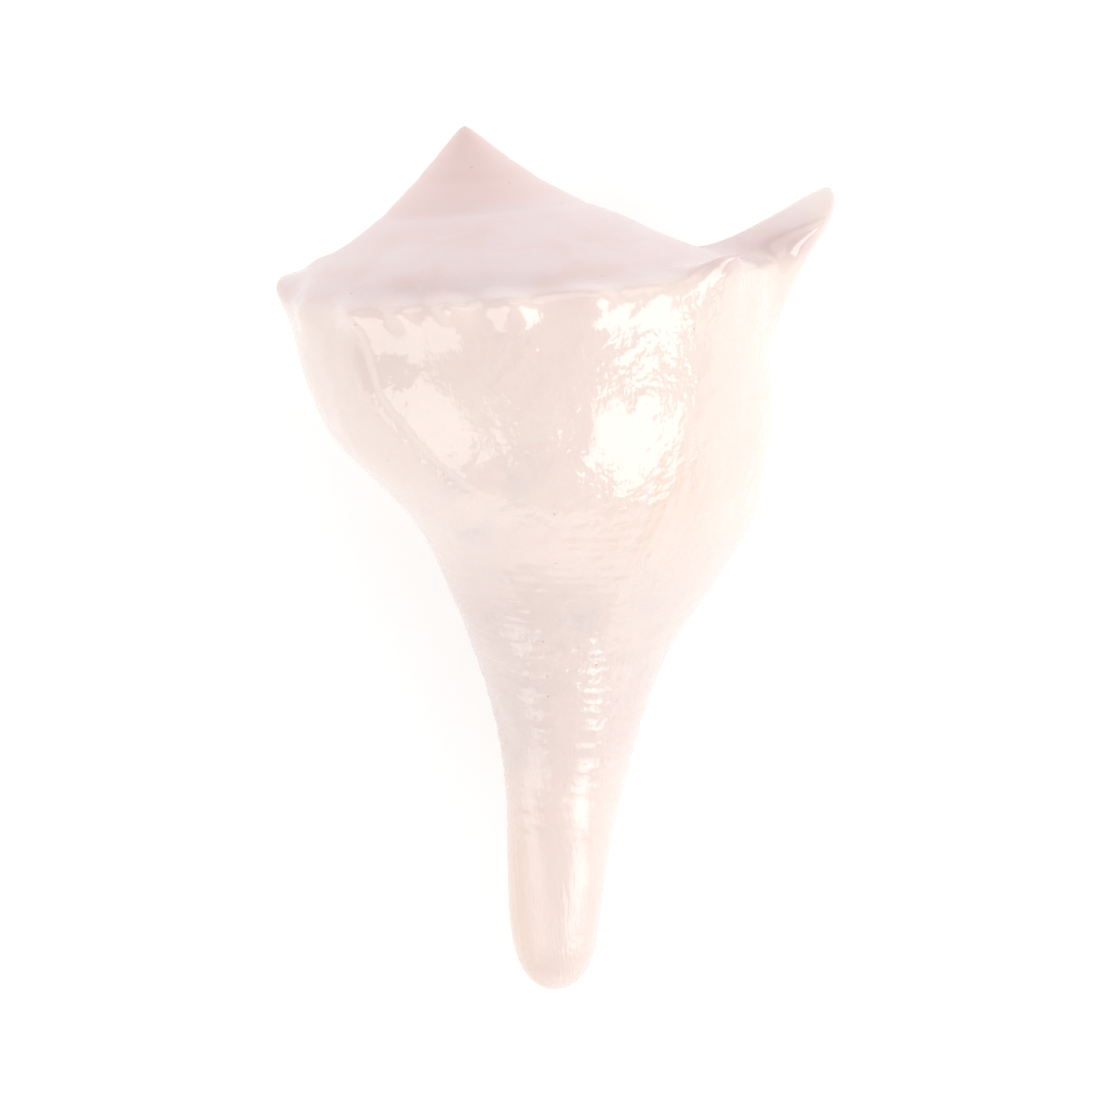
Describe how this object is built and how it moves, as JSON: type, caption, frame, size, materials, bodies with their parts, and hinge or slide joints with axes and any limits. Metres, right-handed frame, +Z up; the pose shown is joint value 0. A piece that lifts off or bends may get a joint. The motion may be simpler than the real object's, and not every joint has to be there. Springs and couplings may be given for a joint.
{
  "type": "left-handed whelk shell",
  "caption": "Polished left-handed whelk shell: low pointed spire, knobbed shoulder with one long spine by the lip, wide body whorl, open aperture and a long tapering siphonal canal.",
  "frame": {"origin": "centre of the overall size in X and Y, on the table the shell lies on", "axes": "+Y towards the spire's point, -Y towards the end of the canal, +X towards the outer lip and the spine, +Z up from the table; the shell lies on its aperture with its back up"},
  "size_m": [0.1034, 0.1576, 0.0727],
  "materials": {
    "shell": "polished, pearly, cream-pink aragonite"
  },
  "bodies": {
    "root": {"shell": "shell"}
  },
  "joints": []
}
